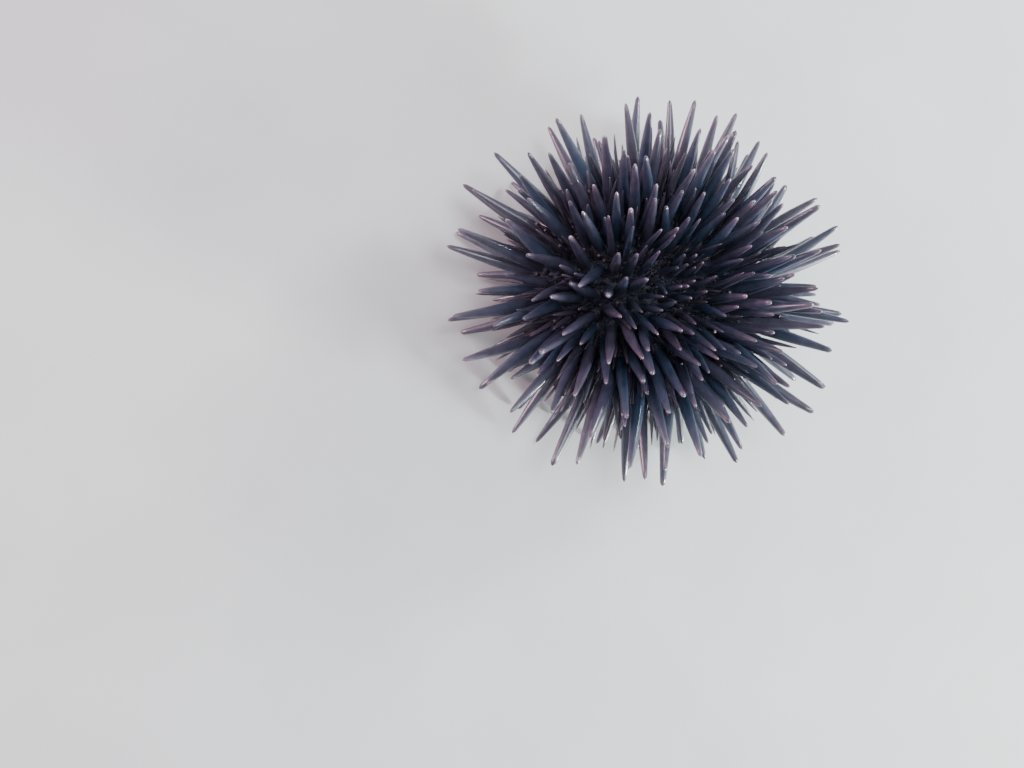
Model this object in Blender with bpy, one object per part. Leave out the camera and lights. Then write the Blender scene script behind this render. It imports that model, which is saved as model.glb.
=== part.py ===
"""Oblong sea urchin: the whole animal as a still, life-size model that stands on its lower spines.

The oval shell, called the test, is parted like the real one into five ambulacra, which carry the
tube feet, and five interambulacra between them. They meet the apical disc at the top and the
peristome, the soft skin round the mouth, underneath. The long axis of the test lies along X.
"""

import math

import bmesh
import bpy
import numpy as np
from mathutils import Matrix, Vector

COLLECTION_NAME = "oblong_sea_urchin"
ZONE_PAIRS = 5

# The test: an oval dome with a flatter underside that sinks towards the mouth.
TEST_LENGTH = 0.054
TEST_WIDTH = 0.046
AMBITUS_HEIGHT = 0.0178
DOME_RISE = 0.0165
UNDERSIDE_DROP = 0.0106
UNDERSIDE_FLATNESS = 0.72
MOUTH_SINK = 0.0022
MOUTH_SINK_REACH = 0.62
TEST_SEGMENTS = 30
TEST_RINGS = 15

# The zones: each ambulacrum is narrower than the interambulacrum beside it.
AMBULACRUM_HALF_ANGLE = math.radians(15.0)
INTERAMBULACRUM_HALF_ANGLE = math.radians(21.0)
SEAM = 0.0003

# The discs that close the two poles.
APICAL_RADIUS = 0.0055
APICAL_DEPTH = 0.0026
PERISTOME_RADIUS = 0.0110
PERISTOME_DEPTH = 0.0020
PERISTOME_SAG = 0.0003
PERISTOME_HOLE = 0.0036
DISC_SIDES = 30

# The jaws: the end of the chewing apparatus with the tips of its five teeth.
JAW_RADIUS = PERISTOME_HOLE - SEAM
JAW_TIP_RADIUS = 0.0024
JAW_DROP = 0.0012
TOOTH_COUNT = 5
TOOTH_ROOT_RADIUS = 0.00075
TOOTH_TIP_RADIUS = 0.0003
TOOTH_LENGTH = 0.0036
TOOTH_RING_RADIUS = 0.0015
TOOTH_LEAN = math.radians(14.0)
TOOTH_SUNK = 0.0010
TOOTH_SIDES = 6

# The primary spines: two columns in each zone, with rows that stand closer towards the poles.
ROWS = 13
COLUMN_SHARE = 0.5
COLUMN_WANDER = 0.14
FIRST_POLAR = math.radians(16.5)
LAST_POLAR = math.radians(147.5)
ROW_CROWDING = 0.6
ROW_SAMPLES = 400

# The secondary spines: shorter ones along the middle of each zone, where it is wide enough.
MIDDLE_ROWS = range(7, 21, 2)
MIDDLE_LENGTH = 0.66
MIDDLE_WANDER = 0.10

# The spines: long round the ambitus, shorter on top and shortest under the animal.
SPINE_AMBITUS_LENGTH = 0.0235
SPINE_TOP_LENGTH = 0.0150
SPINE_UNDER_LENGTH = 0.0085
SPINE_TOP_FALLOFF = 1.3
SPINE_UNDER_FALLOFF = 3.0
SPINE_LENGTH_SPREAD = 0.10
SPINE_LEAN_SPREAD = (math.radians(8.0), math.radians(4.5))
SPINE_RADIUS_BASE = 0.00035
SPINE_RADIUS_SHARE = 0.047
SPINE_ROOT_SHARE = 0.84
SPINE_WIDEST_AT = 0.22
SPINE_SHOULDER_AT = 0.68
SPINE_SHOULDER_SHARE = 0.74
SPINE_SUNK = 0.0014
SPINE_SIDES = 5
SPINE_SEAM_ROOM = 0.80
SPINE_TRIES = 14
SPINE_SAMPLES = 24
SPINE_CLEARANCE = 0.0004
SPINE_SHRINK = 0.88
SPINE_ROUNDS = 4
BLUNT_SHARE = 0.18
BLUNT_TIP = 0.42
RANDOM_SEED = 11

# The spines on one side are combed over, as the animal in the photo holds them.
COMB_MIDDLE = math.radians(40.0)
COMB_REACH = math.radians(65.0)
COMB_ANGLE = math.radians(17.0)

# The lower spines: those past the standing angle rest on the floor, the rest stay just above it.
STANDING_POLAR = math.radians(132.0)
STANDING_TIP = 0.50
FLOOR_CUT = 0.0003
FLOOR_CLEARANCE = 0.0007

# The short spines of the apical disc, in two rings of count, ring radius and spine length.
APICAL_RINGS = ((9, 0.0040, 0.0125), (4, 0.0019, 0.0115))
APICAL_SPINE_RADIUS = 0.00072

SPINE_COLOR = (0.030, 0.020, 0.036)
SPINE_ROUGHNESS = 0.45
SKIN_COLOR = (0.045, 0.022, 0.030)
SKIN_ROUGHNESS = 0.60
TOOTH_COLOR = (0.80, 0.76, 0.66)
TOOTH_ROUGHNESS = 0.35

NORMAL_STEP = 1e-4
WELD_DISTANCE = 1e-6
CUT_TOLERANCE = 1e-7


def clear_scene():
    """Remove whatever the scene holds."""
    for item in list(bpy.data.objects):
        bpy.data.objects.remove(item, do_unlink=True)


def make_collection(name):
    """A new collection in the scene."""
    collection = bpy.data.collections.new(name)
    bpy.context.scene.collection.children.link(collection)
    return collection


def make_material(name, color, roughness):
    """A plain finish with no metal in it."""
    material = bpy.data.materials.new(name)
    material.use_nodes = True
    shader = material.node_tree.nodes["Principled BSDF"]
    shader.inputs["Base Color"].default_value = (*color, 1.0)
    shader.inputs["Roughness"].default_value = roughness
    shader.inputs["Metallic"].default_value = 0.0
    return material


def make_object(name, bm, collection, material=None):
    """An object for a finished mesh, in its collection and with its material."""
    mesh = bpy.data.meshes.new(name)
    bm.to_mesh(mesh)
    bm.free()
    item = bpy.data.objects.new(name, mesh)
    if material:
        item.data.materials.append(material)
    collection.objects.link(item)
    return item


def test_points(polar, around):
    """Points of the test: polar runs from 0 at the top to pi at the mouth, around turns from +X."""
    polar, around = np.broadcast_arrays(np.asarray(polar, float), np.asarray(around, float))
    ring = np.sin(polar)
    rise = np.cos(polar)
    dome = DOME_RISE * rise
    sunk = np.clip(1.0 - ring / MOUTH_SINK_REACH, 0.0, 1.0)
    base = MOUTH_SINK * sunk * sunk * (3.0 - 2.0 * sunk)
    base = base - UNDERSIDE_DROP * np.abs(rise) ** UNDERSIDE_FLATNESS
    height = AMBITUS_HEIGHT + np.where(rise < 0.0, base, dome)
    x = TEST_LENGTH / 2.0 * ring * np.cos(around)
    y = TEST_WIDTH / 2.0 * ring * np.sin(around)
    return np.stack([x, y, height], axis=-1)


def test_normals(polar, around):
    """Outward unit normals of the test, from the cross product of its two tangents."""
    along = test_points(polar + NORMAL_STEP, around) - test_points(polar - NORMAL_STEP, around)
    across = test_points(polar, around + NORMAL_STEP) - test_points(polar, around - NORMAL_STEP)
    normal = np.cross(along, across)
    return normal / np.linalg.norm(normal, axis=-1, keepdims=True)


def make_dome():
    """The whole test: a sphere whose points are moved onto the test's surface."""
    bm = bmesh.new()
    bmesh.ops.create_uvsphere(bm, u_segments=TEST_SEGMENTS, v_segments=TEST_RINGS, radius=1.0)
    for vertex in bm.verts:
        polar = math.acos(max(-1.0, min(1.0, vertex.co.z)))
        around = math.atan2(vertex.co.y, vertex.co.x)
        vertex.co = test_points(polar, around)
    return bm


def zone_list():
    """The ten zones round the test, each with its name, its middle and its half angle."""
    half_turn = math.pi / ZONE_PAIRS
    zones = []
    for index in range(ZONE_PAIRS):
        middle = 2.0 * half_turn * index
        zones.append((f"ambulacrum_{index + 1}", middle, AMBULACRUM_HALF_ANGLE))
        zones.append((f"interambulacrum_{index + 1}", middle + half_turn, INTERAMBULACRUM_HALF_ANGLE))
    return zones


def row_polars():
    """Polar angles of the rows, at even steps of arc length that shrink towards the poles."""
    polar = np.linspace(FIRST_POLAR, LAST_POLAR, ROW_SAMPLES)
    points = test_points(polar, math.pi / 4.0)
    steps = np.linalg.norm(np.diff(points, axis=0), axis=1)
    crowding = ROW_CROWDING + (1.0 - ROW_CROWDING) * np.sin(polar[1:]) ** 2
    share = np.concatenate([[0.0], np.cumsum(steps / crowding)])
    wanted = (np.arange(2 * ROWS) + 0.5) / (2 * ROWS)
    return np.interp(wanted, share / share[-1], polar)


def spine_length(polar):
    """The length of a spine that grows at this polar angle."""
    if math.cos(polar) > 0.0:
        end_length = SPINE_TOP_LENGTH
        falloff = SPINE_TOP_FALLOFF
    else:
        end_length = SPINE_UNDER_LENGTH
        falloff = SPINE_UNDER_FALLOFF
    return end_length + (SPINE_AMBITUS_LENGTH - end_length) * math.sin(polar) ** falloff


def leaned(direction, lean):
    """A direction turned by two small angles: sideways and along the meridian."""
    side = np.cross([0.0, 0.0, 1.0], direction)
    side = side / np.linalg.norm(side)
    up = np.cross(direction, side)
    turned = direction + math.tan(lean[0]) * side + math.tan(lean[1]) * up
    return turned / np.linalg.norm(turned)


def combed(normal, polar, around):
    """A normal turned sideways where the spines are combed over. The turn is a raised cosine of
    the way round the test and fades towards its poles."""
    away = (around - COMB_MIDDLE + math.pi) % (2.0 * math.pi) - math.pi
    share = math.cos(min(1.0, abs(away) / COMB_REACH) * math.pi / 2.0) ** 2
    return leaned(normal, (COMB_ANGLE * share * math.sin(polar) ** 2, 0.0))


def kept_above(direction, root_height, length, tip_height):
    """A direction raised, where it has to be, until the tip is no lower than a given height."""
    steepest = (tip_height - root_height) / length
    if direction[2] >= steepest:
        return direction
    flat = np.array([direction[0], direction[1], 0.0])
    flat = flat / np.linalg.norm(flat) * math.sqrt(max(0.0, 1.0 - steepest * steepest))
    return flat + np.array([0.0, 0.0, steepest])


def spine_radii(radius, tip_share):
    """The radius at even steps along a spine: swelling, then tapering over a shoulder to the tip."""
    along = np.linspace(0.0, 1.0, SPINE_SAMPLES)
    places = [0.0, SPINE_WIDEST_AT, SPINE_SHOULDER_AT, 1.0]
    shares = [SPINE_ROOT_SHARE, 1.0, SPINE_SHOULDER_SHARE, tip_share]
    return radius * np.interp(along, places, shares)


def least_gap(points, radii, others, other_radii):
    """The smallest gap between one spine and the rows of other spines, over their samples."""
    if not others:
        return math.inf
    far = np.linalg.norm(np.array(others)[:, :, None, :] - points[None, None, :, :], axis=-1)
    return float((far - np.array(other_radii)[:, :, None] - radii[None, None, :]).min())


class Coat:
    """All spines of the animal, each set clear of those that stand already."""

    def __init__(self):
        self.random = np.random.default_rng(RANDOM_SEED)
        self.spines = {}
        self.samples = []
        self.sample_radii = []

    def add(self, node, root, heading, length, radius, tip_share, tip_height):
        """Set one spine, with the first of its random leans that keeps clear of the others."""
        leans = self.random.normal(0.0, SPINE_LEAN_SPREAD, (SPINE_TRIES, 2))
        leans = leans * np.linspace(1.0, 0.0, SPINE_TRIES)[:, None]
        for lean in np.concatenate([leans] * SPINE_ROUNDS):
            direction = kept_above(leaned(heading, lean), root[2], length, tip_height)
            points = root + np.linspace(0.0, length, SPINE_SAMPLES)[:, None] * direction
            radii = spine_radii(radius, tip_share)
            if least_gap(points, radii, self.samples, self.sample_radii) > SPINE_CLEARANCE:
                self.samples.append(points)
                self.sample_radii.append(radii)
                self.spines.setdefault(node, []).append((root, direction, length, radius, tip_share))
                return
            if not lean.any():
                length = length * SPINE_SHRINK
                radius = radius * SPINE_SHRINK


def seam_room(root, middle, half_angle):
    """How far a point lies from the nearer edge of its zone."""
    gaps = []
    for side in (-1.0, 1.0):
        angle = zone_angle(middle + side * half_angle)
        outward = (-side * math.sin(angle), side * math.cos(angle))
        gaps.append(-root[0] * outward[0] - root[1] * outward[1])
    return min(gaps) - SEAM / 2.0


def grow_coat():
    """Every spine of the animal, zone by zone, column by column and from the top down."""
    coat = Coat()
    polars = row_polars()
    for ring_count, ring_radius, length in APICAL_RINGS:
        for index in range(ring_count):
            around = 2.0 * math.pi * (index + 0.5) / ring_count
            polar = math.asin(ring_radius / (TEST_LENGTH / 2.0))
            root = test_points(polar, around)
            length_now = length * (1.0 + SPINE_LENGTH_SPREAD * coat.random.uniform(-1.0, 1.0))
            heading = test_normals(polar, around)
            coat.add("apical_disc", root, heading, length_now, APICAL_SPINE_RADIUS, BLUNT_TIP, 0.0)
    for zone in zone_list():
        for column, side in enumerate((-1.0, 1.0)):
            for polar in polars[column::2]:
                add_zone_spine(coat, zone, side * COLUMN_SHARE, COLUMN_WANDER, polar, 1.0)
    for zone in zone_list():
        for row in MIDDLE_ROWS:
            add_zone_spine(coat, zone, 0.0, MIDDLE_WANDER, polars[row], MIDDLE_LENGTH)
    return coat.spines


def add_zone_spine(coat, zone, column, wander, polar, length_share):
    """One spine of a zone, with its own place near a column, length, thickness and tip."""
    name, middle, half_angle = zone
    around = middle + half_angle * (column + wander * coat.random.uniform(-1.0, 1.0))
    root = test_points(polar, around)
    heading = combed(test_normals(polar, around), polar, around)
    length = length_share * spine_length(polar)
    length = length * (1.0 + SPINE_LENGTH_SPREAD * coat.random.uniform(-1.0, 1.0))
    blunt = coat.random.uniform() < BLUNT_SHARE
    radius = SPINE_RADIUS_BASE + SPINE_RADIUS_SHARE * length
    radius = min(radius, SPINE_SEAM_ROOM * seam_room(root, middle, half_angle))
    if polar > STANDING_POLAR:
        coat.add(name, root, heading, length, radius, STANDING_TIP, -FLOOR_CUT)
        return
    tip_share = BLUNT_TIP if blunt else 0.0
    coat.add(name, root, heading, length, radius, tip_share, FLOOR_CLEARANCE)


def cut_flat(bm, point, outward):
    """Cut off what lies past a plane and close the cut with flat faces."""
    everything = bm.verts[:] + bm.edges[:] + bm.faces[:]
    bmesh.ops.bisect_plane(
        bm, geom=everything, dist=CUT_TOLERANCE, plane_co=point, plane_no=outward, clear_outer=True
    )
    open_edges = [edge for edge in bm.edges if edge.is_boundary]
    bmesh.ops.holes_fill(bm, edges=open_edges, sides=0)


def zone_angle(around):
    """The true compass angle of an around angle, which the oval squeezes."""
    return math.atan2(TEST_WIDTH * math.sin(around), TEST_LENGTH * math.cos(around))


def cut_to_wedge(bm, middle, half_angle):
    """Keep the stretch between two upright planes, each half a seam inside the zone's edge."""
    for side in (-1.0, 1.0):
        angle = zone_angle(middle + side * half_angle)
        outward = (-side * math.sin(angle), side * math.cos(angle), 0.0)
        point = tuple(-SEAM / 2.0 * part for part in outward)
        cut_flat(bm, point, outward)


def turned_shape(profile, sides):
    """A closed round shape: radii and heights from one end to the other, turned about Z."""
    bm = bmesh.new()
    points = [bm.verts.new((radius, 0.0, height)) for radius, height in profile]
    edges = [bm.edges.new(pair) for pair in zip(points, points[1:])]
    bmesh.ops.spin(
        bm, geom=points + edges, cent=(0.0, 0.0, 0.0), axis=(0.0, 0.0, 1.0),
        angle=2.0 * math.pi, steps=sides, use_merge=True,
    )
    bmesh.ops.remove_doubles(bm, verts=bm.verts, dist=WELD_DISTANCE)
    open_edges = [edge for edge in bm.edges if edge.is_boundary]
    bmesh.ops.holes_fill(bm, edges=open_edges, sides=0)
    bmesh.ops.recalc_face_normals(bm, faces=bm.faces)
    return bm


def make_spine(name, spine, collection):
    """One tapered spine with its root sunk in the test."""
    root, direction, length, radius, tip_share = spine
    profile = [
        (radius * SPINE_ROOT_SHARE, -SPINE_SUNK),
        (radius, length * SPINE_WIDEST_AT),
        (radius * SPINE_SHOULDER_SHARE, length * SPINE_SHOULDER_AT),
        (radius * tip_share, length),
    ]
    item = make_object(name, turned_shape(profile, SPINE_SIDES), collection)
    turn = Vector(direction).to_track_quat("Z", "Y").to_matrix().to_4x4()
    item.matrix_world = Matrix.Translation(root) @ turn


def make_cutter(name, radius, low, high, collection):
    """A round upright cutter between two heights."""
    cutter = make_object(name, turned_shape([(radius, low), (radius, high)], DISC_SIDES), collection)
    cutter.hide_render = True
    cutter.display_type = "WIRE"
    return cutter


def add_boolean(item, cutter, operation):
    """Cut an object by another, or keep only what they share."""
    modifier = item.modifiers.new(cutter.name, "BOOLEAN")
    modifier.operation = operation
    modifier.object = cutter


def join_all(item, parts):
    """Fuse an object with every mesh of a collection, remove that collection and trim the node."""
    modifier = item.modifiers.new("join", "BOOLEAN")
    modifier.operation = "UNION"
    modifier.operand_type = "COLLECTION"
    modifier.collection = parts
    seen = item.evaluated_get(bpy.context.evaluated_depsgraph_get())
    joined = bpy.data.meshes.new_from_object(seen)
    item.modifiers.clear()
    item.data = joined
    for part in list(parts.objects):
        bpy.data.objects.remove(part, do_unlink=True)
    bpy.data.collections.remove(parts)
    finish_node(item)


def surfaces_of(bm):
    """The separate surfaces of a mesh, as lists of faces."""
    seen = set()
    surfaces = []
    for first in bm.faces:
        if first in seen:
            continue
        seen.add(first)
        surface = [first]
        for face in surface:
            near = {other for edge in face.edges for other in edge.link_faces} - seen
            seen |= near
            surface.extend(near)
        surfaces.append(surface)
    return surfaces


def keep_largest(bm):
    """Drop every surface but the one with the most faces."""
    surfaces = surfaces_of(bm)
    largest = max(surfaces, key=len)
    loose = [face for surface in surfaces if surface is not largest for face in surface]
    bmesh.ops.delete(bm, geom=loose, context="FACES")


def finish_node(item):
    """Trim a fused node at the floor and keep its one closed surface."""
    bm = bmesh.new()
    bm.from_mesh(item.data)
    keep_largest(bm)
    cut_flat(bm, (0.0, 0.0, 0.0), (0.0, 0.0, -1.0))
    keep_largest(bm)
    bm.to_mesh(item.data)
    bm.free()


def mouth_height():
    """The height of the test's edge round the mouth."""
    edge_polar = math.pi - math.asin(PERISTOME_RADIUS / (TEST_LENGTH / 2.0))
    return float(test_points(edge_polar, 0.0)[2])


def fuse_spines(item, spines):
    """Join a node's spines to it."""
    parts = make_collection(item.name + "_spines")
    for index, spine in enumerate(spines):
        make_spine(f"{item.name}_spine_{index}", spine, parts)
    join_all(item, parts)


def make_zones(material, collection, cutters, spines):
    """The ten wedges of the test, each with its two columns of spines."""
    for name, middle, half_angle in zone_list():
        bm = make_dome()
        cut_to_wedge(bm, middle, half_angle)
        item = make_object(name, bm, collection, material)
        for cutter in cutters:
            add_boolean(item, cutter, "DIFFERENCE")
        fuse_spines(item, spines[name])


def make_apical_disc(material, collection, cutter, spines):
    """The disc of small plates at the top with its short spines."""
    item = make_object("apical_disc", make_dome(), collection, material)
    add_boolean(item, cutter, "INTERSECT")
    fuse_spines(item, spines["apical_disc"])


def make_peristome(material, collection):
    """The ring of soft skin across the mouth opening, sagging a little in its middle."""
    low = mouth_height()
    high = low + PERISTOME_DEPTH
    middle = (PERISTOME_RADIUS + PERISTOME_HOLE) / 2.0
    profile = [
        (PERISTOME_HOLE, high),
        (PERISTOME_RADIUS, high),
        (PERISTOME_RADIUS, low),
        (middle, low - PERISTOME_SAG),
        (PERISTOME_HOLE, low),
        (PERISTOME_HOLE, high),
    ]
    make_object("peristome", turned_shape(profile, DISC_SIDES), collection, material)


def make_jaws(material, collection):
    """The round end of the jaws with five leaning teeth rooted in it, as one body."""
    high = mouth_height() + PERISTOME_DEPTH
    rim = mouth_height()
    low = rim - JAW_DROP
    profile = [(JAW_TIP_RADIUS, low), (JAW_RADIUS, rim), (JAW_RADIUS, high)]
    item = make_object("jaws", turned_shape(profile, DISC_SIDES), collection, material)
    teeth = make_collection("teeth")
    tooth_profile = [(TOOTH_TIP_RADIUS, -TOOTH_LENGTH), (TOOTH_ROOT_RADIUS, TOOTH_SUNK)]
    for index in range(TOOTH_COUNT):
        tooth = make_object(f"tooth_{index}", turned_shape(tooth_profile, TOOTH_SIDES), teeth)
        turn = Matrix.Rotation(2.0 * math.pi * index / TOOTH_COUNT, 4, "Z")
        shift = Matrix.Translation((TOOTH_RING_RADIUS, 0.0, low))
        lean = Matrix.Rotation(TOOTH_LEAN, 4, "Y")
        tooth.matrix_world = turn @ shift @ lean
    join_all(item, teeth)


def centre_on_floor(collection):
    """Move every node sideways until the middle of the whole animal's box is at the origin."""
    points = []
    for item in collection.objects:
        flat = np.empty(3 * len(item.data.vertices), np.float32)
        item.data.vertices.foreach_get("co", flat)
        points.append(flat.reshape(-1, 3))
    points = np.concatenate(points)
    middle = (points.min(axis=0) + points.max(axis=0)) / 2.0
    shift = Matrix.Translation((-middle[0], -middle[1], 0.0))
    for item in collection.objects:
        item.data.transform(shift)


def main():
    """Build every node of the animal."""
    clear_scene()
    collection = make_collection(COLLECTION_NAME)
    guides = make_collection("cutters")
    spine_finish = make_material("spine", SPINE_COLOR, SPINE_ROUGHNESS)
    skin_finish = make_material("skin", SKIN_COLOR, SKIN_ROUGHNESS)
    tooth_finish = make_material("tooth", TOOTH_COLOR, TOOTH_ROUGHNESS)
    top = AMBITUS_HEIGHT + DOME_RISE
    above = top + SPINE_TOP_LENGTH
    disc_low = top - APICAL_DEPTH
    mouth_top = mouth_height() + PERISTOME_DEPTH + SEAM
    disc = make_cutter("disc_guide", APICAL_RADIUS, disc_low, above, guides)
    top_hole = make_cutter("top_hole", APICAL_RADIUS + SEAM, disc_low - SEAM, above, guides)
    mouth_hole = make_cutter("mouth_hole", PERISTOME_RADIUS + SEAM, 0.0, mouth_top, guides)
    spines = grow_coat()
    make_zones(spine_finish, collection, (top_hole, mouth_hole), spines)
    make_apical_disc(spine_finish, collection, disc, spines)
    make_peristome(skin_finish, collection)
    make_jaws(tooth_finish, collection)
    centre_on_floor(collection)


main()
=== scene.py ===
"""An oblong sea urchin, finished as a life-size museum model: test, coat of spines, feet and mouth."""

import math

import bpy
import numpy as np
from mathutils import Matrix, Vector


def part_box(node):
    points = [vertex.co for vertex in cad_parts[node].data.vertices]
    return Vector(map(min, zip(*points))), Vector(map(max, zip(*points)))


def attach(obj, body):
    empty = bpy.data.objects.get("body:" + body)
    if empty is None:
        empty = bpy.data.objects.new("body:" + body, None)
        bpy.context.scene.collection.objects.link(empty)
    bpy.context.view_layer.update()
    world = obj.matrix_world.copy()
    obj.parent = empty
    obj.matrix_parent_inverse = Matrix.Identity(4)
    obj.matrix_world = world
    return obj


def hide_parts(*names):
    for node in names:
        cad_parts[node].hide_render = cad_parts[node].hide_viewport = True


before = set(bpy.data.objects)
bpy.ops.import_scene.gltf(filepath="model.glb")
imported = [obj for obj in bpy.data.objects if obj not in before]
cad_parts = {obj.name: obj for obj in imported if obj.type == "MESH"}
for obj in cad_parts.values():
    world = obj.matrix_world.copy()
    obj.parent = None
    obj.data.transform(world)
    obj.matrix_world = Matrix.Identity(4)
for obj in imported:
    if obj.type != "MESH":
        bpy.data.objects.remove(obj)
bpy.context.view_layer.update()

# The test. The real one is an oval shell of small chalky plates, in five narrow bands with pores
# and five wide bands between them. A thin, dark living skin covers it and runs on over the soft
# disc round the mouth, so the whole of it is one surface here.
TEST_LENGTH = 0.054
TEST_WIDTH = 0.046
AMBITUS_HEIGHT = 0.0178
DOME_RISE = 0.0165
UNDERSIDE_DROP = 0.0106
UNDERSIDE_FLATNESS = 0.72
MOUTH_SINK = 0.0022
MOUTH_SINK_REACH = 0.62
NORMAL_STEP = 1e-4
ZONE_PAIRS = 5
AMBULACRUM_HALF_ANGLE = math.radians(15.0)
INTERAMBULACRUM_HALF_ANGLE = math.radians(21.0)
PERISTOME_RADIUS = 0.0110
SKIN_INSET = 0.0003
SKIN_ROWS = 150
SKIN_COLUMNS = 360
PLATE_ROWS = 24
PLATE_SWELL = 0.00011
SEAM_GROOVE = 0.00016
SEAM_WIDTH = 0.045
MOUTH_FOLDS = 40
MOUTH_FOLD_DEPTH = 0.00013
SKIN_TONES = ((0.35, (0.016, 0.018, 0.030)), (0.70, (0.036, 0.034, 0.052)))
SKIN_ROUGHNESS = (0.42, 0.66)
SKIN_MOTTLE_SCALE = 260.0
SKIN_GRAIN_SCALE = 1500.0
SKIN_GRAIN_DEPTH = -0.00016
GRAIN_STRENGTH = 0.7
NOISE_DETAIL = 4.0
SKIN_SPECULAR = 0.22
SKIN_NODES = [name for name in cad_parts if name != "jaws"]
CELL_MARGIN = 0.06
END_STRIP = 0.04


def box_middle(node):
    """The middle of a node's box: half the sum of its lowest and highest corners."""
    low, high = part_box(node)
    return np.array((low + high) / 2.0)


# The model was centred on the tips of its spines, so the mouth tells where the test's axis stands.
AXIS_SHIFT = box_middle("peristome") * np.array([1.0, 1.0, 0.0])


def test_points(polar, around):
    """Points of the test. The radius is the sine of the polar angle times half the length or width.
    The height is a cosine dome above the ambitus, and a power of the cosine below it, with a
    smooth step that sinks the middle towards the mouth."""
    polar, around = np.broadcast_arrays(np.asarray(polar, float), np.asarray(around, float))
    ring = np.sin(polar)
    rise = np.cos(polar)
    dome = DOME_RISE * rise
    sunk = np.clip(1.0 - ring / MOUTH_SINK_REACH, 0.0, 1.0)
    base = MOUTH_SINK * sunk * sunk * (3.0 - 2.0 * sunk)
    base = base - UNDERSIDE_DROP * np.abs(rise) ** UNDERSIDE_FLATNESS
    height = AMBITUS_HEIGHT + np.where(rise < 0.0, base, dome)
    x = TEST_LENGTH / 2.0 * ring * np.cos(around)
    y = TEST_WIDTH / 2.0 * ring * np.sin(around)
    return np.stack([x, y, height], axis=-1)


def test_normals(polar, around):
    """Outward unit normals of the test: the cross product of small steps along and across it."""
    along = test_points(polar + NORMAL_STEP, around) - test_points(polar - NORMAL_STEP, around)
    across = test_points(polar, around + NORMAL_STEP) - test_points(polar, around - NORMAL_STEP)
    normal = np.cross(along, across)
    return normal / np.linalg.norm(normal, axis=-1, keepdims=True)


def zone_place(around):
    """How far an angle lies across its zone, from -1 at one edge to 1 at the other."""
    pair = 2.0 * math.pi / ZONE_PAIRS
    turned = (around + AMBULACRUM_HALF_ANGLE) % pair - AMBULACRUM_HALF_ANGLE
    porous = np.abs(turned) <= AMBULACRUM_HALF_ANGLE
    plain = (turned - pair / 2.0) / INTERAMBULACRUM_HALF_ANGLE
    return np.where(porous, turned / AMBULACRUM_HALF_ANGLE, plain)


def skin_relief(polar, around):
    """Height added to the skin: each plate swells as a product of two sines, zones meet in a
    narrow groove that follows a bell curve, and the mouth's disc has folds as a sine round it."""
    across = zone_place(around)
    rows = PLATE_ROWS * polar / math.pi + 0.5 * (across > 0.0)
    swell = PLATE_SWELL * np.abs(np.sin(math.pi * rows)) * np.abs(np.sin(math.pi * across))
    groove = SEAM_GROOVE * np.exp(-(((1.0 - np.abs(across)) / SEAM_WIDTH) ** 2))
    under = polar > math.pi / 2.0
    mouth = under & (np.sin(polar) < PERISTOME_RADIUS / (TEST_LENGTH / 2.0))
    folds = MOUTH_FOLD_DEPTH * np.sin(MOUTH_FOLDS * around) * np.sin(polar)
    return np.where(mouth, folds, swell - groove)


def add_piece(name, points, quads, triangles, material, slot, nodes, uvs=None, marks=None):
    """A mesh object at the origin from arrays of points, quads and triangles, with UV maps given
    for each corner and one vector of marks for each point. It rides on the root."""
    mesh = bpy.data.meshes.new(name)
    corners = np.concatenate([quads.reshape(-1), triangles.reshape(-1)]).astype(np.int32)
    sizes = np.concatenate([np.full(len(quads), 4), np.full(len(triangles), 3)])
    starts = np.concatenate([[0], np.cumsum(sizes)[:-1]]).astype(np.int32)
    mesh.vertices.add(len(points))
    mesh.vertices.foreach_set("co", (points + AXIS_SHIFT).astype(np.float32).reshape(-1))
    mesh.loops.add(len(corners))
    mesh.loops.foreach_set("vertex_index", corners)
    mesh.polygons.add(len(sizes))
    mesh.polygons.foreach_set("loop_start", starts)
    for label, values in (uvs or {}).items():
        layer = mesh.uv_layers.new(name=label)
        layer.data.foreach_set("uv", values.astype(np.float32).reshape(-1))
    if marks is not None:
        attribute = mesh.attributes.new("marks", "FLOAT_VECTOR", "POINT")
        attribute.data.foreach_set("vector", marks.astype(np.float32).reshape(-1))
    mesh.update(calc_edges=True)
    mesh.shade_smooth()
    mesh.materials.append(material)
    item = bpy.data.objects.new(name, mesh)
    bpy.context.scene.collection.objects.link(item)
    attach(item, "root")
    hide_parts(*nodes)
    return item


def tube_faces(count, rings, sides):
    """Faces of many closed tubes at once. Each tube has its rings of points one after the other
    and then a point for each end. Side quads join ring to ring, and end triangles join the first
    and last ring to their points."""
    size = rings * sides + 2
    ring = np.arange(rings - 1)[:, None]
    side = np.arange(sides)[None, :]
    after = (side + 1) % sides
    low = ring * sides
    quad = np.stack([low + side, low + after, low + sides + after, low + sides + side], axis=-1)
    quad = quad.reshape(-1, 4)
    last = (rings - 1) * sides
    turn = np.arange(sides)
    next_turn = (turn + 1) % sides
    root_fan = np.stack([next_turn, turn, np.full(sides, rings * sides)], axis=-1)
    tip_fan = np.stack([last + turn, last + next_turn, np.full(sides, rings * sides + 1)], axis=-1)
    fan = np.concatenate([root_fan, tip_fan])
    offset = (np.arange(count) * size)[:, None, None]
    return (quad[None] + offset).reshape(-1, 4), (fan[None] + offset).reshape(-1, 3)


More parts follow.
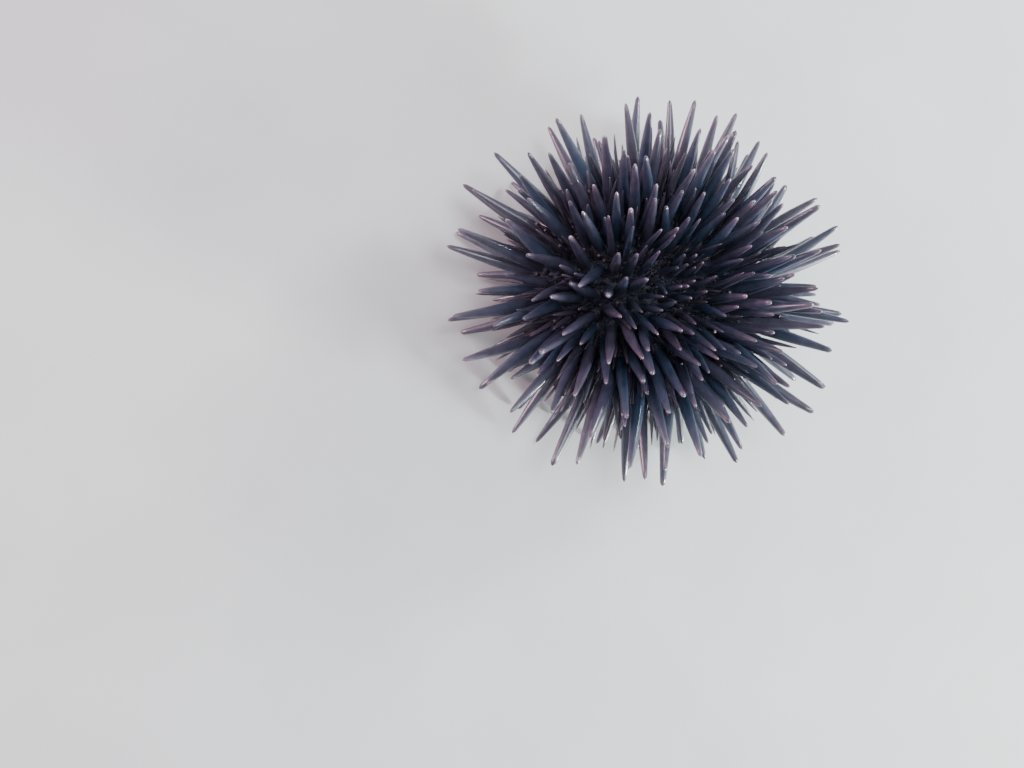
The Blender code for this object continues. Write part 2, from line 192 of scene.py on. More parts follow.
def tube_uvs(count, rings, sides):
    """Corner UVs of the same tubes. On the shaft map a tube is unrolled over the whole square. On
    the bake map each has a cell of its own, with its ends as narrow strips below and above it."""
    wide = math.ceil(math.sqrt(count))
    cell = np.arange(count)
    place = np.stack([cell % wide, cell // wide], axis=-1)[:, None, None, :]
    ring, side = np.meshgrid(np.arange(rings - 1), np.arange(sides), indexing="ij")
    u = np.stack([side, side + 1, side + 1, side], axis=-1) / sides
    v = np.stack([ring, ring, ring + 1, ring + 1], axis=-1) / (rings - 1)
    shaft_quads = np.stack([u, v], axis=-1).reshape(-1, 4, 2)
    turn = np.arange(sides)
    root_u = np.stack([turn + 1, turn, turn + 0.5], axis=-1) / sides
    tip_u = np.stack([turn, turn + 1, turn + 0.5], axis=-1) / sides
    end_v = np.array([0.0, 0.0, -1.0]) * np.ones((sides, 1))
    root_fan = np.stack([root_u, end_v], axis=-1)
    tip_fan = np.stack([tip_u, 1.0 - end_v], axis=-1)
    shaft_fans = np.concatenate([root_fan, tip_fan])
    shaft = [np.broadcast_to(part, (count, *part.shape)) for part in (shaft_quads, shaft_fans)]
    cells = []
    for part in shaft:
        strip = END_STRIP * (1.0 + part[..., 1])
        body = END_STRIP + (1.0 - 2.0 * END_STRIP) * part[..., 1]
        top_strip = 1.0 - END_STRIP * (2.0 - part[..., 1])
        high = np.where(part[..., 1] < 0.0, strip, np.where(part[..., 1] > 1.0, top_strip, body))
        inside = CELL_MARGIN + (1.0 - 2.0 * CELL_MARGIN) * np.stack([part[..., 0], high], axis=-1)
        cells.append((place + inside) / wide)
    join = [np.concatenate([part.reshape(-1, 2) for part in pair]) for pair in (cells, shaft)]
    return {"OFBake": join[0], "shaft": join[1]}


def surface_of_skin():
    """The skin's points: rings of the test, drawn in by the inset and raised by the relief."""
    polar = np.linspace(math.pi, 0.0, SKIN_ROWS + 2)[1:-1][:, None]
    around = np.linspace(0.0, 2.0 * math.pi, SKIN_COLUMNS, endpoint=False)[None, :]
    relief = skin_relief(polar, around) - SKIN_INSET
    rings = test_points(polar, around) + relief[..., None] * test_normals(polar, around)
    poles = test_points(np.array([math.pi, 0.0]), 0.0)
    poles[:, 2] += np.array([SKIN_INSET, -SKIN_INSET])
    return np.concatenate([rings.reshape(-1, 3), poles])


def new_material(name):
    """A material with its shader, ready for nodes."""
    material = bpy.data.materials.new(name)
    material.use_nodes = True
    return material, material.node_tree.nodes["Principled BSDF"]


def add_node(material, kind, links=(), **values):
    """A node with its sockets set to values, or linked from the sockets of other nodes."""
    node = material.node_tree.nodes.new(kind)
    for name, value in values.items():
        setattr(node, name, value)
    for socket, source in links:
        if isinstance(source, bpy.types.NodeSocket):
            material.node_tree.links.new(source, node.inputs[socket])
        else:
            node.inputs[socket].default_value = source
    return node


def add_noise(material, scale, detail=NOISE_DETAIL):
    """Soft noise in Object coordinates."""
    vector = add_node(material, "ShaderNodeTexCoord").outputs["Object"]
    links = (("Vector", vector), ("Scale", scale), ("Detail", detail))
    return add_node(material, "ShaderNodeTexNoise", links).outputs["Fac"]


def add_math(material, operation, first, second=0.0):
    """One sum with two numbers or sockets."""
    links = ((0, first), (1, second))
    return add_node(material, "ShaderNodeMath", links, operation=operation).outputs[0]


def add_range(material, value, low, high):
    """A value from 0 to 1 moved to another range."""
    links = (("Value", value), ("To Min", low), ("To Max", high))
    return add_node(material, "ShaderNodeMapRange", links).outputs["Result"]


def add_mix(material, factor, first, second, blend="MIX"):
    """Two colours mixed by a factor."""
    node = add_node(material, "ShaderNodeMix", data_type="RGBA", blend_type=blend)
    sockets = (node.inputs[0], node.inputs[6], node.inputs[7])
    for socket, source in zip(sockets, (factor, first, second)):
        if isinstance(source, bpy.types.NodeSocket):
            material.node_tree.links.new(source, socket)
        elif isinstance(source, tuple):
            socket.default_value = (*source, 1.0)
        else:
            socket.default_value = source
    return node.outputs[2]


def add_ramp(material, factor, stops):
    """A colour ramp: pairs of a place and a colour, of which a new ramp has two."""
    node = add_node(material, "ShaderNodeValToRGB", (("Fac", factor),))
    ramp = node.color_ramp
    for place, _ in stops[2:]:
        ramp.elements.new(place)
    for element, (place, color) in zip(ramp.elements, stops):
        element.position = place
        element.color = (*color, 1.0)
    return node.outputs["Color"]


def add_bump(material, height, depth, strength=1.0, under=None):
    """A bump of a given depth in metres, laid over another one where there is one."""
    links = [("Height", height), ("Distance", depth), ("Strength", strength)]
    if under is not None:
        links.append(("Normal", under))
    return add_node(material, "ShaderNodeBump", links).outputs["Normal"]


def wire(material, shader, **sources):
    """Join sources to the shader's sockets, by names with low lines for spaces."""
    for name, source in sources.items():
        material.node_tree.links.new(source, shader.inputs[name.replace("_", " ")])


def skin_finish():
    """Living skin: blue-black, mottled by noise, with fine grains and a dull gloss."""
    material, shader = new_material("urchin_skin")
    mottle = add_noise(material, SKIN_MOTTLE_SCALE)
    coordinates = add_node(material, "ShaderNodeTexCoord").outputs["Object"]
    grain_links = (("Vector", coordinates), ("Scale", SKIN_GRAIN_SCALE))
    grains = add_node(material, "ShaderNodeTexVoronoi", grain_links).outputs["Distance"]
    color = add_ramp(material, mottle, SKIN_TONES)
    rough = add_range(material, mottle, *SKIN_ROUGHNESS)
    normal = add_bump(material, grains, SKIN_GRAIN_DEPTH, GRAIN_STRENGTH)
    wire(material, shader, Base_Color=color, Roughness=rough, Normal=normal)
    shader.inputs["Specular IOR Level"].default_value = SKIN_SPECULAR
    return material


SKIN = skin_finish()
skin_form = tube_faces(1, SKIN_ROWS, SKIN_COLUMNS)
skin_maps = tube_uvs(1, SKIN_ROWS, SKIN_COLUMNS)
add_piece("test_skin", surface_of_skin(), *skin_form, SKIN, "skin", SKIN_NODES, skin_maps)

# The primary spines. Each is one stout rod of calcite with a long taper, blue-black to dark
# mauve and paler at its worn tip. Its socket turns on a knob of the test, and muscles hold it by a
# raised ring above the socket. They grow in two columns to each band, with shorter ones between.
ROWS = 13
COLUMN_SHARE = 0.5
COLUMN_WANDER = 0.14
FIRST_POLAR = math.radians(16.5)
LAST_POLAR = math.radians(147.5)
ROW_CROWDING = 0.6
ROW_SAMPLES = 400
ROW_MERIDIAN = math.pi / 4.0
MIDDLE_ROWS = range(7, 21, 2)
MIDDLE_LENGTH = 0.66
MIDDLE_WANDER = 0.10
SEAM = 0.0003
SPINE_AMBITUS_LENGTH = 0.0235
SPINE_TOP_LENGTH = 0.0150
SPINE_UNDER_LENGTH = 0.0085
SPINE_TOP_FALLOFF = 1.3
SPINE_UNDER_FALLOFF = 3.0
SPINE_LENGTH_SPREAD = 0.10
SPINE_LEAN_SPREAD = (math.radians(8.0), math.radians(4.5))
SPINE_RADIUS_BASE = 0.00035
SPINE_RADIUS_SHARE = 0.047
SPINE_ROOT_SHARE = 0.84
SPINE_WIDEST_AT = 0.22
SPINE_SHOULDER_AT = 0.68
SPINE_SHOULDER_SHARE = 0.74
SPINE_SEAM_ROOM = 0.80
SPINE_TRIES = 14
SPINE_SAMPLES = 24
SPINE_CLEARANCE = 0.0004
SPINE_SHRINK = 0.88
SPINE_ROUNDS = 4
BLUNT_SHARE = 0.18
BLUNT_TIP = 0.42
RANDOM_SEED = 11
COMB_MIDDLE = math.radians(40.0)
COMB_REACH = math.radians(65.0)
COMB_ANGLE = math.radians(17.0)
STANDING_POLAR = math.radians(132.0)
STANDING_TIP = 0.50
FLOOR_CUT = 0.0003
FLOOR_CLEARANCE = 0.0007
APICAL_RINGS = ((9, 0.0040, 0.0125), (4, 0.0019, 0.0115))
APICAL_SPINE_RADIUS = 0.00072


def row_polars():
    """Polar angles of the rows, at even steps of arc length that shrink towards the poles."""
    polar = np.linspace(FIRST_POLAR, LAST_POLAR, ROW_SAMPLES)
    points = test_points(polar, ROW_MERIDIAN)
    steps = np.linalg.norm(np.diff(points, axis=0), axis=1)
    crowding = ROW_CROWDING + (1.0 - ROW_CROWDING) * np.sin(polar[1:]) ** 2
    share = np.concatenate([[0.0], np.cumsum(steps / crowding)])
    wanted = (np.arange(2 * ROWS) + 0.5) / (2 * ROWS)
    return np.interp(wanted, share / share[-1], polar)


def spine_length(polar):
    """The length at a polar angle: the end's length plus a power of the sine up to the longest."""
    if math.cos(polar) > 0.0:
        end_length = SPINE_TOP_LENGTH
        falloff = SPINE_TOP_FALLOFF
    else:
        end_length = SPINE_UNDER_LENGTH
        falloff = SPINE_UNDER_FALLOFF
    return end_length + (SPINE_AMBITUS_LENGTH - end_length) * math.sin(polar) ** falloff


def leaned(direction, lean):
    """A direction turned by two small angles: sideways and along the meridian."""
    side = np.cross([0.0, 0.0, 1.0], direction)
    side = side / np.linalg.norm(side)
    up = np.cross(direction, side)
    turned = direction + math.tan(lean[0]) * side + math.tan(lean[1]) * up
    return turned / np.linalg.norm(turned)


def combed(normal, polar, around):
    """A normal turned sideways where the spines are combed over. The turn is a raised cosine of
    the way round the test and fades towards its poles."""
    away = (around - COMB_MIDDLE + math.pi) % (2.0 * math.pi) - math.pi
    share = math.cos(min(1.0, abs(away) / COMB_REACH) * math.pi / 2.0) ** 2
    return leaned(normal, (COMB_ANGLE * share * math.sin(polar) ** 2, 0.0))


def kept_above(direction, root_height, length, tip_height):
    """A direction raised, where it has to be, until the tip is no lower than a given height."""
    steepest = (tip_height - root_height) / length
    if direction[2] >= steepest:
        return direction
    flat = np.array([direction[0], direction[1], 0.0])
    flat = flat / np.linalg.norm(flat) * math.sqrt(max(0.0, 1.0 - steepest * steepest))
    return flat + np.array([0.0, 0.0, steepest])


def spine_radii(radius, tip_share):
    """The radius at even steps along a spine: swelling, then tapering over a shoulder to the tip."""
    along = np.linspace(0.0, 1.0, SPINE_SAMPLES)
    places = [0.0, SPINE_WIDEST_AT, SPINE_SHOULDER_AT, 1.0]
    shares = [SPINE_ROOT_SHARE, 1.0, SPINE_SHOULDER_SHARE, tip_share]
    return radius * np.interp(along, places, shares)


def least_gap(points, radii, others, other_radii):
    """The smallest gap between one spine and the rows of other spines, over their samples."""
    if not others:
        return math.inf
    far = np.linalg.norm(np.array(others)[:, :, None, :] - points[None, None, :, :], axis=-1)
    return float((far - np.array(other_radii)[:, :, None] - radii[None, None, :]).min())


def zone_angle(around):
    """The true compass angle of an around angle, which the oval squeezes."""
    return math.atan2(TEST_WIDTH * math.sin(around), TEST_LENGTH * math.cos(around))


def seam_room(root, middle, half_angle):
    """How far a point lies from the nearer edge of its zone."""
    gaps = []
    for side in (-1.0, 1.0):
        angle = zone_angle(middle + side * half_angle)
        outward = (-side * math.sin(angle), side * math.cos(angle))
        gaps.append(-root[0] * outward[0] - root[1] * outward[1])
    return min(gaps) - SEAM / 2.0


class Coat:
    """All primary spines, each set clear of those that stand already, in the groups they form."""

    def __init__(self):
        self.random = np.random.default_rng(RANDOM_SEED)
        self.groups = {}
        self.samples = []
        self.sample_radii = []

    def add(self, group, place, length, radius, tip_share, tip_height):
        """Set one spine, with the first of its random leans that keeps clear of the others. Its
        place is its root, the normal there and the way that it heads."""
        root, normal, heading = place
        leans = self.random.normal(0.0, SPINE_LEAN_SPREAD, (SPINE_TRIES, 2))
        leans = leans * np.linspace(1.0, 0.0, SPINE_TRIES)[:, None]
        for lean in np.concatenate([leans] * SPINE_ROUNDS):
            direction = kept_above(leaned(heading, lean), root[2], length, tip_height)
            points = root + np.linspace(0.0, length, SPINE_SAMPLES)[:, None] * direction
            radii = spine_radii(radius, tip_share)
            if least_gap(points, radii, self.samples, self.sample_radii) > SPINE_CLEARANCE:
                self.samples.append(points)
                self.sample_radii.append(radii)
                row = (*root, *normal, *direction, length, radius, tip_share)
                self.groups.setdefault(group, []).append(row)
                return
            if not lean.any():
                length = length * SPINE_SHRINK
                radius = radius * SPINE_SHRINK

    def add_in_zone(self, group, zone, column, wander, polar, length_share):
        """One spine of a zone, with its own place near a column, length, thickness and tip."""
        middle, half_angle = zone
        around = middle + half_angle * (column + wander * self.random.uniform(-1.0, 1.0))
        root = test_points(polar, around)
        normal = test_normals(polar, around)
        place = (root, normal, combed(normal, polar, around))
        length = length_share * spine_length(polar)
        length = length * (1.0 + SPINE_LENGTH_SPREAD * self.random.uniform(-1.0, 1.0))
        blunt = self.random.uniform() < BLUNT_SHARE
        radius = SPINE_RADIUS_BASE + SPINE_RADIUS_SHARE * length
        radius = min(radius, SPINE_SEAM_ROOM * seam_room(root, middle, half_angle))
        if polar > STANDING_POLAR:
            self.add(group, place, length, radius, STANDING_TIP, -FLOOR_CUT)
            return
        tip_share = BLUNT_TIP if blunt else 0.0
        self.add(group, place, length, radius, tip_share, FLOOR_CLEARANCE)


def grow_coat():
    """Every primary spine, zone by zone, column by column and from the top down. Each is a row of
    its root, the test's normal there, its direction, length, radius and tip share."""
    coat = Coat()
    polars = row_polars()
    for ring_count, ring_radius, length in APICAL_RINGS:
        for index in range(ring_count):
            around = 2.0 * math.pi * (index + 0.5) / ring_count
            polar = math.asin(ring_radius / (TEST_LENGTH / 2.0))
            root = test_points(polar, around)
            length_now = length * (1.0 + SPINE_LENGTH_SPREAD * coat.random.uniform(-1.0, 1.0))
            normal = test_normals(polar, around)
            place = (root, normal, normal)
            coat.add("apical", place, length_now, APICAL_SPINE_RADIUS, BLUNT_TIP, 0.0)
    half_turn = math.pi / ZONE_PAIRS
    zones = []
    for index in range(ZONE_PAIRS):
        middle = 2.0 * half_turn * index
        zones.append(("ambulacral", (middle, AMBULACRUM_HALF_ANGLE)))
        zones.append(("interambulacral", (middle + half_turn, INTERAMBULACRUM_HALF_ANGLE)))
    for band, zone in zones:
        for column, (side, hand) in enumerate(((-1.0, "right"), (1.0, "left"))):
            for polar in polars[column::2]:
                group = f"{band}_{hand}"
                coat.add_in_zone(group, zone, side * COLUMN_SHARE, COLUMN_WANDER, polar, 1.0)
    for band, zone in zones:
        for row in MIDDLE_ROWS:
            coat.add_in_zone("middle", zone, 0.0, MIDDLE_WANDER, polars[row], MIDDLE_LENGTH)
    return {group: np.array(rows) for group, rows in coat.groups.items()}


COAT = grow_coat()
ALL_SPINES = np.concatenate(list(COAT.values()))
ROOT = slice(0, 3)
NORMAL = slice(3, 6)
DIRECTION = slice(6, 9)
LENGTH = 9
RADIUS = 10
TIP_SHARE = 11

# The form of one primary spine. The socket and its ring are set in spine radii, and the shaft in
# shares of what is left of the length.
SPINE_SIDES = 12
SOCKET_HEIGHTS = np.array([-0.70, 0.10, 0.38, 0.58, 0.74, 0.92, 1.20, 1.70])
SOCKET_RADII = np.array([0.60, 0.62, 0.72, 1.02, 1.10, 1.00, 0.90, 0.91])
SHAFT_STEPS = np.array(
    [0.08, 0.18, 0.28, 0.40, 0.52, 0.63, 0.73, 0.82, 0.90, 0.96, 0.98, 0.992, 0.998]
)
SHAFT_CURVE = 1.7
ROUND_FROM = 0.96
POINT_SHARE = 0.30
SPINE_BOW = 0.022
ROD_UNEVEN = 0.02
SPINE_FLUTES = 26.0
FLUTE_DEPTH = 0.00002
FLUTE_STRENGTH = 0.5
SPINE_GRAIN = (1500.0, 1.0)
SPINE_GRAIN_DEPTH = 0.00003
SPINE_GRAIN_STRENGTH = 0.4
SPINE_MOTTLE_SCALE = 420.0
SPINE_SHADES = (0.45, 1.55)
SPINE_ROUGHNESS = (0.28, 0.38)
SPINE_RIM = (0.100, 0.095, 0.118)
SPINE_DARK = (0.027, 0.044, 0.080)
SPINE_WARM = (0.048, 0.042, 0.069)
SPINE_TIP = (0.150, 0.090, 0.132)
SPINE_FILM = 0.7
SPINE_FILM_ROUGHNESS = 0.10
SPINE_WORN = (0.420, 0.370, 0.380)
RING_STOPS = ((0.03, (1, 1, 1)), (0.075, (0, 0, 0)))
TIP_STOPS = ((0.50, (0, 0, 0)), (0.88, (0.3, 0.3, 0.3)), (0.99, (1, 1, 1)))
TIP_SHIFT = (-0.08, 0.08)
TIP_SHARES = (0.35, 1.0)
END_STOPS = ((0.982, (0, 0, 0)), (0.996, (1, 1, 1)))
BARE_STOPS = ((0.40, (0, 0, 0)), (0.90, (1, 1, 1)))


def shaft_taper(along, tip):
    """The share of its greatest radius that a shaft keeps: all of it up to its widest place, and
    from there a power of the way less, down to its tip's share."""
    fall = np.clip((along - SPINE_WIDEST_AT) / (1.0 - SPINE_WIDEST_AT), 0.0, 1.0)
    return 1.0 - (1.0 - tip) * fall**SHAFT_CURVE


def spine_rings(rows):
    """Heights above the root and radii of each spine's rings. The socket's are spine radii. The
    shaft swells as a sine to its widest, tapers from there, and is rounded at its end by the
    square root of what is left."""
    length = rows[:, LENGTH, None]
    radius = rows[:, RADIUS, None]
    tip = np.maximum(rows[:, TIP_SHARE, None], POINT_SHARE)
    socket_top = SOCKET_HEIGHTS[-1] * radius
    shaft = socket_top + SHAFT_STEPS * (length - socket_top)
    swell = np.sin(np.clip(SHAFT_STEPS / SPINE_WIDEST_AT, 0.0, 1.0) * math.pi / 2.0)
    swollen = SOCKET_RADII[-1] + (1.0 - SOCKET_RADII[-1]) * swell
    taper = shaft_taper(SHAFT_STEPS, tip)
    end = np.sqrt(np.clip((1.0 - SHAFT_STEPS) / (1.0 - ROUND_FROM), 0.0, 1.0))
    heights = np.concatenate([SOCKET_HEIGHTS * radius, shaft], axis=1)
    radii = np.concatenate([SOCKET_RADII * radius, radius * swollen * taper * end], axis=1)
    return heights, radii


def rod_points(root, direction, heights, radii, length, sides, bow, random):
    """Points of many rods at once. Each ring is a circle of uneven radius round a line that bows
    sideways as a half sine of its height. Each rod ends in a point at its root and at its tip, and
    nothing reaches below the floor."""
    side = np.cross(direction, np.array([0.0, 0.0, 1.0]))
    side = side / np.linalg.norm(side, axis=-1, keepdims=True)
    up = np.cross(direction, side)
    count = len(root)
    bend_way = random.uniform(0.0, 2.0 * math.pi, (count, 1))
    bend = side * np.cos(bend_way) + up * np.sin(bend_way)
    bend = bend * bow * length[:, None] * random.uniform(-1.0, 1.0, (count, 1))
    along = np.clip(heights / length[:, None], 0.0, 1.0)
    line = root[:, None] + heights[..., None] * direction[:, None]
    line = line + np.sin(math.pi * along)[..., None] * bend[:, None]
    turned = np.arange(sides) * (2.0 * math.pi / sides)
    turned = turned + random.uniform(0.0, 2.0 * math.pi, (count, 1))
    circle = np.cos(turned)[..., None] * side[:, None] + np.sin(turned)[..., None] * up[:, None]
    uneven = 1.0 + ROD_UNEVEN * random.uniform(-1.0, 1.0, (*heights.shape, sides))
    rings = line[:, :, None] + (radii[..., None] * uneven)[..., None] * circle[:, None]
    ends = np.stack([line[:, 0], root + length[:, None] * direction], axis=1)
    points = np.concatenate([rings.reshape(count, -1, 3), ends], axis=1)
    points[..., 2] = np.maximum(points[..., 2], 0.0)
    return points


def rod_marks(heights, length, sides, random):
    """For each point of each rod: the share of the way to its tip, and two random tones."""
    along = np.clip(heights / length[:, None], 0.0, 1.0)
    along = np.repeat(along, sides, axis=1)
    along = np.concatenate([along, np.zeros((len(along), 1)), np.ones((len(along), 1))], axis=1)
    tones = random.uniform(0.0, 1.0, (len(along), 1, 2)) * np.ones((1, along.shape[1], 1))
    return np.concatenate([along[..., None], tones], axis=2)


def add_rods(name, root, direction, heights, radii, length, sides, bow, looks, seed):
    """A piece of many rods, with their faces, UV maps and marks. Its looks are its material, a slot
    that is not used, and the nodes that it stands for."""
    random = np.random.default_rng(seed)
    points = rod_points(root, direction, heights, radii, length, sides, bow, random)
    marks = rod_marks(heights, length, sides, random)
    count, rings = heights.shape
    faces = tube_faces(count, rings, sides)
    maps = tube_uvs(count, rings, sides)
    return add_piece(name, points.reshape(-1, 3), *faces, *looks, maps, marks.reshape(-1, 3))


def spine_finish(name, rim, dark, warm, tip):
    """Calcite under a thin wet skin. The colour goes from dark to warm by each spine's own tone,
    is mottled by noise, paler at the ring above the socket, and turns to the tip's colour towards
    the end, which is worn bare on some. Fine flutes are a sine of the place round the shaft."""
    material, shader = new_material(name)
    marks = add_node(material, "ShaderNodeAttribute", attribute_name="marks").outputs["Vector"]
    parts = add_node(material, "ShaderNodeSeparateXYZ", (("Vector", marks),)).outputs
    shaft = add_node(material, "ShaderNodeUVMap", uv_map="shaft").outputs["UV"]
    across = add_node(material, "ShaderNodeSeparateXYZ", (("Vector", shaft),)).outputs["X"]
    mottle = add_noise(material, SPINE_MOTTLE_SCALE)
    shifted = add_math(material, "ADD", parts["X"], add_range(material, mottle, *TIP_SHIFT))
    at_ring = add_ramp(material, parts["X"], RING_STOPS)
    to_tip = add_ramp(material, shifted, TIP_STOPS)
    worn = add_math(material, "MULTIPLY", to_tip, add_range(material, parts["Z"], *TIP_SHARES))
    body = add_mix(material, parts["Y"], dark, warm)
    at_end = add_ramp(material, parts["X"], END_STOPS)
    bare = add_math(material, "MULTIPLY", at_end, add_ramp(material, parts["Z"], BARE_STOPS))
    body = add_mix(material, worn, body, tip)
    body = add_mix(material, bare, body, SPINE_WORN)
    body = add_mix(material, at_ring, body, rim)
    shade = add_range(material, mottle, *SPINE_SHADES)
    color = add_mix(material, 1.0, body, shade, "MULTIPLY")
    rough = add_range(material, mottle, *SPINE_ROUGHNESS)
    turns = add_math(material, "MULTIPLY", across, 2.0 * math.pi * SPINE_FLUTES)
    waves = add_math(material, "SINE", turns)
    flutes = add_bump(material, waves, FLUTE_DEPTH, FLUTE_STRENGTH)
    grains = add_noise(material, *SPINE_GRAIN)
    normal = add_bump(material, grains, SPINE_GRAIN_DEPTH, SPINE_GRAIN_STRENGTH, flutes)
    wire(material, shader, Base_Color=color, Roughness=rough, Normal=normal)
    shader.inputs["Coat Weight"].default_value = SPINE_FILM
    shader.inputs["Coat Roughness"].default_value = SPINE_FILM_ROUGHNESS
    return material


SPINE = spine_finish("spine", SPINE_RIM, SPINE_DARK, SPINE_WARM, SPINE_TIP)
ZONE_NODES = [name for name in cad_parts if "ambulacrum" in name]
for order, (group, rows) in enumerate(COAT.items()):
    nodes = ["apical_disc"] if group == "apical" else ZONE_NODES
    heights, radii = spine_rings(rows)
    add_rods(
        f"{group}_spines", rows[:, ROOT], rows[:, DIRECTION], heights, radii, rows[:, LENGTH],
        SPINE_SIDES, SPINE_BOW, (SPINE, "spines", nodes), order,
    )

# The tubercles. Each primary spine turns on a knob of the test: a low boss with a smooth round
# head, part of its plate and covered by the same skin, with a ring of muscle up to the spine.
TUBERCLE_SIDES = 14
TUBERCLE_HEIGHTS = np.array([-0.00045, -0.00005, 0.00012, 0.00026, 0.00036, 0.00050, 0.00062])
TUBERCLE_RADII = np.array([1.55, 1.45, 1.28, 0.98, 0.74, 0.66, 0.40])
TUBERCLE_CAP = 0.0001
TUBERCLE_SEED = 20
TUBERCLE_LOOK = ((0.018, 0.019, 0.032), (0.044, 0.040, 0.060), (0.30, 0.50), 600.0, 0.00008)
PLAIN_STOPS = (0.32, 0.72)
PLAIN_GRAIN_FINENESS = 5.0
PLAIN_SPECULAR = 0.5


def plain_finish(name, look, specular=PLAIN_SPECULAR):
    """Skin, soft tissue or plain matt stuff. A look is two tones that noise mixes, the range of
    the roughness, the scale of the noise and the depth of the finer grain."""
    low, high, roughness, scale, depth = look
    material, shader = new_material(name)
    mottle = add_noise(material, scale)
    color = add_ramp(material, mottle, tuple(zip(PLAIN_STOPS, (low, high))))
    rough = add_range(material, mottle, *roughness)
    grains = add_noise(material, scale * PLAIN_GRAIN_FINENESS)
    normal = add_bump(material, grains, depth, GRAIN_STRENGTH)
    wire(material, shader, Base_Color=color, Roughness=rough, Normal=normal)
    shader.inputs["Specular IOR Level"].default_value = specular
    return material


TUBERCLE = plain_finish("tubercle", TUBERCLE_LOOK, SKIN_SPECULAR)
tubercle_count = len(ALL_SPINES)
tubercle_heights = np.tile(TUBERCLE_HEIGHTS, (tubercle_count, 1))
tubercle_radii = TUBERCLE_RADII * ALL_SPINES[:, RADIUS, None]
add_rods(
    "tubercles", ALL_SPINES[:, ROOT], ALL_SPINES[:, NORMAL], tubercle_heights, tubercle_radii,
    np.full(tubercle_count, TUBERCLE_HEIGHTS[-1] + TUBERCLE_CAP), TUBERCLE_SIDES, 0.0,
    (TUBERCLE, "skin", ZONE_NODES), TUBERCLE_SEED,
)

# The secondary and miliary spines. They are the same calcite in three smaller sizes, slender and
# pointed, and stand all over the plates between the primary ones, each clear of them.
SCATTER_TRIES = 16000
SCATTER_ENDS = (math.radians(3.0), math.radians(150.0))
PRIMARY_ROOM_SHARE = 1.10
ROD_STEPS = np.linspace(0.1, 1.0, 10)
BOW_ROOM_SHARE = 0.04
SLENDER_LEANS = (0.10, 0.14, 0.18, 0.22, 0.26, 0.30)
SLENDER_SPREAD = (0.80, 1.15)
SLENDER_BOW = 0.03
LONG_COUNT = 300
LONG_ROOM = 0.00072
LONG_LENGTH = (0.45, 0.76)
LONG_RADIUS = 0.00062
LONG_SIDES = 10
LONG_SEED = 37
SECONDARY_COUNT = 640
SECONDARY_ROOM = 0.00048
SECONDARY_LENGTH = (0.24, 0.42)
SECONDARY_RADIUS = 0.00034
SECONDARY_SIDES = 8
SECONDARY_SEED = 31
MILIARY_COUNT = 1500
MILIARY_ROOM = 0.00028
MILIARY_LENGTH = (0.12, 0.20)
MILIARY_RADIUS = 0.00019
MILIARY_SIDES = 6
MILIARY_SEED = 32
SMALL_DARK = (0.030, 0.036, 0.056)
SMALL_WARM = (0.056, 0.046, 0.066)
SLENDER_STEPS = np.array([-0.06, 0.05, 0.09, 0.14, 0.40, 0.70, 0.90, 0.985])
SLENDER_SHARES = np.array([0.95, 1.00, 1.30, 0.90, 1.00, 0.78, 0.46, 0.18])


def scattered(wanted, room, taken, low, high, random):
    """Polar and around angles of places on the test, drawn evenly over the cosine of the polar
    angle. Each is kept if its room and the room of every place taken before don't meet."""
    polar = np.arccos(random.uniform(math.cos(high), math.cos(low), SCATTER_TRIES))
    around = random.uniform(0.0, 2.0 * math.pi, SCATTER_TRIES)
    points = test_points(polar, around)
    places = np.concatenate([taken, np.full((wanted, 4), np.inf)])
    kept = []
    for index, point in enumerate(points):
        far = np.linalg.norm(places[:, :3] - point, axis=1)
        filled = len(taken) + len(kept)
        if len(kept) < wanted and (far[:filled] > places[:filled, 3] + room).all():
            places[filled] = (*point, room)
            kept.append(index)
    return polar[kept], around[kept], places[: len(taken) + len(kept)]


def clear_of_coat(root, direction, length, radius):
    """Which rods keep clear of the primary spines. From steps along each rod, the nearest place on
    every spine's line is found by projection. The gap to it has to be wider than the spine there,
    the rod and some room for their bows, which goes with the height."""
    headings = ALL_SPINES[:, DIRECTION]
    ends = ALL_SPINES[:, LENGTH]
    clear = np.ones(len(root), bool)
    for step in ROD_STEPS:
        height = step * length
        reach = (root + height[:, None] * direction)[:, None] - ALL_SPINES[:, ROOT]
        share = np.clip((reach * headings).sum(axis=-1) / ends, 0.0, 1.0)
        gap = np.linalg.norm(reach - (share * ends)[..., None] * headings, axis=-1)
        gap = gap - ALL_SPINES[:, RADIUS] * shaft_taper(share, POINT_SHARE)
        clear &= gap.min(axis=1) > radius + BOW_ROOM_SHARE * height
    return clear


def unit(vectors):
    """Vectors brought to length one."""
    return vectors / np.linalg.norm(vectors, axis=-1, keepdims=True)


def add_slender(name, count, room, lengths, radius, sides, taken, seed):
    """Scatter slender spines over the test, each in length a share of the primary spines' there,
    with a radius that goes with that length's square root. Each takes the first of its random
    leans that keeps clear of the primary spines, and is left out where none does."""
    random = np.random.default_rng(seed)
    polar, around, taken = scattered(count, room, taken, *SCATTER_ENDS, random)
    root = test_points(polar, around)
    normal = test_normals(polar, around)
    primary_length = np.vectorize(spine_length)(polar)
    length = primary_length * random.uniform(*lengths, len(polar))
    direction = normal
    clear = np.zeros(len(polar), bool)
    for spread in SLENDER_LEANS:
        tried = unit(normal + spread * random.normal(size=root.shape))
        direction = np.where(clear[:, None], direction, tried)
        clear = clear_of_coat(root, direction, length, radius)
    thinness = np.sqrt(primary_length / SPINE_AMBITUS_LENGTH)
    widths = (radius * thinness * random.uniform(*SLENDER_SPREAD, len(polar)))[clear, None]
    add_rods(
        name, root[clear], direction[clear], SLENDER_STEPS * length[clear, None],
        SLENDER_SHARES * widths, length[clear], sides, SLENDER_BOW,
        (SMALL_SPINE, "spines", ZONE_NODES), seed,
    )
    return taken


